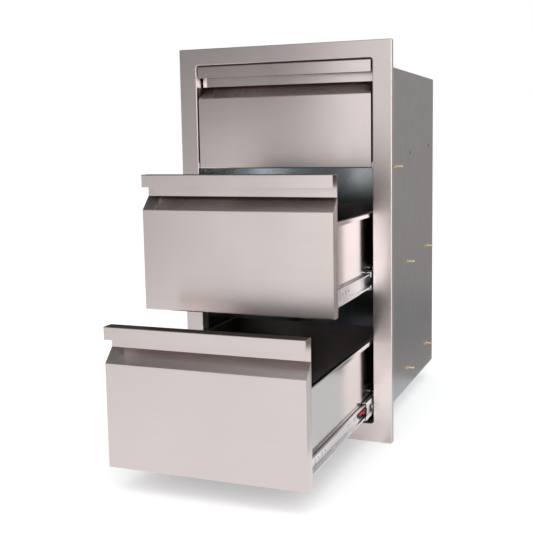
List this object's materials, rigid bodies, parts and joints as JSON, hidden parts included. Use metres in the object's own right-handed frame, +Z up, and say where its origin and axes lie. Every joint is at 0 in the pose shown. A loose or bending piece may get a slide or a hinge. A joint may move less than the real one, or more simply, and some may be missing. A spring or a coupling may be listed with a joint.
{
  "type": "outdoor kitchen drawer unit",
  "caption": "Built-in outdoor kitchen unit: a flanged trim frame and sheet case with a tilting towel-roll door above pull-out drawers on full-extension ball slides.",
  "frame": {"origin": "middle of the lower edge of the trim frame, in the plane of the frame's lips that seats on the island's face", "axes": "+X to the right seen from the front, +Y into the island away from the seat, +Z up"},
  "size_m": [0.445, 0.927, 0.782],
  "materials": {
    "brushed_steel": "fine brushed stainless sheet, warm grey",
    "case_steel": "plain mill-finish stainless sheet, glossier and darker than the fronts",
    "tray_steel": "plain mill-finish stainless sheet",
    "bright_zinc": "bright zinc plate, slightly blue",
    "ball_cage": "thin bright strip with steel balls",
    "plain_steel": "plain stainless fasteners and levers",
    "polished_steel": "polished stainless tube",
    "copper_plate": "copper-plated weld studs",
    "red_plastic": "moulded, satin",
    "black_plastic": "moulded, satin",
    "dark_nylon": "turned nylon",
    "pale_nylon": "turned nylon"
  },
  "bodies": {
    "case": {"trim_frame": "brushed_steel", "case_wrapper": "case_steel", "case_roof": "case_steel", "case_back": "case_steel", "case_studs": "copper_plate", "case_nuts": "bright_zinc", "hinge_bracket_right": "bright_zinc", "hinge_bracket_left": "bright_zinc", "hinge_pins": "plain_steel", "hinge_washers": "pale_nylon", "door_stop_pins": "plain_steel", "middle_slide_plate_right": "bright_zinc", "middle_case_channel_right": "bright_zinc", "middle_slide_plate_left": "bright_zinc", "middle_case_channel_left": "bright_zinc", "bottom_slide_plate_right": "bright_zinc", "bottom_case_channel_right": "bright_zinc", "bottom_slide_plate_left": "bright_zinc", "bottom_case_channel_left": "bright_zinc"},
    "towel_door": {"towel_door": "brushed_steel", "towel_door_liner": "case_steel", "door_arm_right": "plain_steel", "door_arm_left": "plain_steel"},
    "towel_rod": {"towel_rod_tube": "polished_steel", "towel_rod_fixed_plug": "dark_nylon"},
    "towel_rod_plug": {"towel_rod_sprung_plug": "dark_nylon"},
    "middle_slide_stages": {"middle_stage_channel_right": "bright_zinc", "middle_stage_channel_left": "bright_zinc"},
    "middle_drawer": {"middle_drawer_front": "brushed_steel", "middle_front_liner": "case_steel", "middle_tray": "tray_steel", "middle_front_screws": "plain_steel", "middle_tray_rivets": "plain_steel", "middle_drawer_channel_right": "bright_zinc", "middle_drawer_channel_left": "bright_zinc", "middle_lever_seat_right": "black_plastic", "middle_lever_seat_left": "black_plastic"},
    "middle_outer_cages": {"middle_outer_ball_cages": "ball_cage"},
    "middle_inner_cages": {"middle_inner_ball_cages": "ball_cage"},
    "middle_lever_right": {"middle_release_lever_right": "red_plastic"},
    "middle_lever_left": {"middle_release_lever_left": "red_plastic"},
    "bottom_slide_stages": {"bottom_stage_channel_right": "bright_zinc", "bottom_stage_channel_left": "bright_zinc"},
    "bottom_drawer": {"bottom_drawer_front": "brushed_steel", "bottom_front_liner": "case_steel", "bottom_tray": "tray_steel", "bottom_front_screws": "plain_steel", "bottom_tray_rivets": "plain_steel", "bottom_drawer_channel_right": "bright_zinc", "bottom_drawer_channel_left": "bright_zinc", "bottom_lever_seat_right": "black_plastic", "bottom_lever_seat_left": "black_plastic"},
    "bottom_outer_cages": {"bottom_outer_ball_cages": "ball_cage"},
    "bottom_inner_cages": {"bottom_inner_ball_cages": "ball_cage"},
    "bottom_lever_right": {"bottom_release_lever_right": "red_plastic"},
    "bottom_lever_left": {"bottom_release_lever_left": "red_plastic"}
  },
  "joints": [
    {"name": "towel_door_tilt", "type": "hinge", "parent": "case", "child": "towel_door", "pos_m": [0, -0.005, 0.5475], "axis": [1, 0, 0], "range_deg": [0, 72]},
    {"name": "towel_rod_spin", "type": "hinge", "parent": "towel_door", "child": "towel_rod", "pos_m": [0, 0.07632, 0.62882], "axis": [1, 0, 0], "continuous": true},
    {"name": "towel_rod_plug_press", "type": "slide", "parent": "towel_rod", "child": "towel_rod_plug", "axis": [-1, 0, 0], "range_m": [0, 0.006], "stiffness_N_per_m": 400, "springref_m": -0.005},
    {"name": "middle_stage_slide", "type": "slide", "parent": "case", "child": "middle_slide_stages", "axis": [0, -1, 0], "range_m": [-0.036, 0.149]},
    {"name": "middle_drawer_slide", "type": "slide", "parent": "middle_slide_stages", "child": "middle_drawer", "axis": [0, -1, 0], "range_m": [-0.2, 0.115]},
    {"name": "middle_outer_cage_slide", "type": "slide", "parent": "case", "child": "middle_outer_cages", "axis": [0, -1, 0], "range_m": [-0.018, 0.0745]},
    {"name": "middle_inner_cage_slide", "type": "slide", "parent": "middle_slide_stages", "child": "middle_inner_cages", "axis": [0, -1, 0], "range_m": [-0.1, 0.0575]},
    {"name": "middle_lever_right_press", "type": "hinge", "parent": "middle_drawer", "child": "middle_lever_right", "pos_m": [0.1765, 0.09, 0.323], "axis": [1, 0, 0], "range_deg": [-12, 12], "stiffness_Nm_per_rad": 0.03},
    {"name": "middle_lever_left_press", "type": "hinge", "parent": "middle_drawer", "child": "middle_lever_left", "pos_m": [-0.1765, 0.09, 0.323], "axis": [1, 0, 0], "range_deg": [-12, 12], "stiffness_Nm_per_rad": 0.03},
    {"name": "bottom_stage_slide", "type": "slide", "parent": "case", "child": "bottom_slide_stages", "axis": [0, -1, 0], "range_m": [-0.07, 0.115]},
    {"name": "bottom_drawer_slide", "type": "slide", "parent": "bottom_slide_stages", "child": "bottom_drawer", "axis": [0, -1, 0], "range_m": [-0.307, 0.008]},
    {"name": "bottom_outer_cage_slide", "type": "slide", "parent": "case", "child": "bottom_outer_cages", "axis": [0, -1, 0], "range_m": [-0.035, 0.0575]},
    {"name": "bottom_inner_cage_slide", "type": "slide", "parent": "bottom_slide_stages", "child": "bottom_inner_cages", "axis": [0, -1, 0], "range_m": [-0.1535, 0.004]},
    {"name": "bottom_lever_right_press", "type": "hinge", "parent": "bottom_drawer", "child": "bottom_lever_right", "pos_m": [0.1765, -0.051, 0.0725], "axis": [1, 0, 0], "range_deg": [-12, 12], "stiffness_Nm_per_rad": 0.03},
    {"name": "bottom_lever_left_press", "type": "hinge", "parent": "bottom_drawer", "child": "bottom_lever_left", "pos_m": [-0.1765, -0.051, 0.0725], "axis": [1, 0, 0], "range_deg": [-12, 12], "stiffness_Nm_per_rad": 0.03}
  ],
  "couplings": [
    {"joint": "middle_outer_cage_slide", "follows": "middle_stage_slide", "ratio": 0.5},
    {"joint": "middle_inner_cage_slide", "follows": "middle_drawer_slide", "ratio": 0.5},
    {"joint": "bottom_outer_cage_slide", "follows": "bottom_stage_slide", "ratio": 0.5},
    {"joint": "bottom_inner_cage_slide", "follows": "bottom_drawer_slide", "ratio": 0.5}
  ]
}
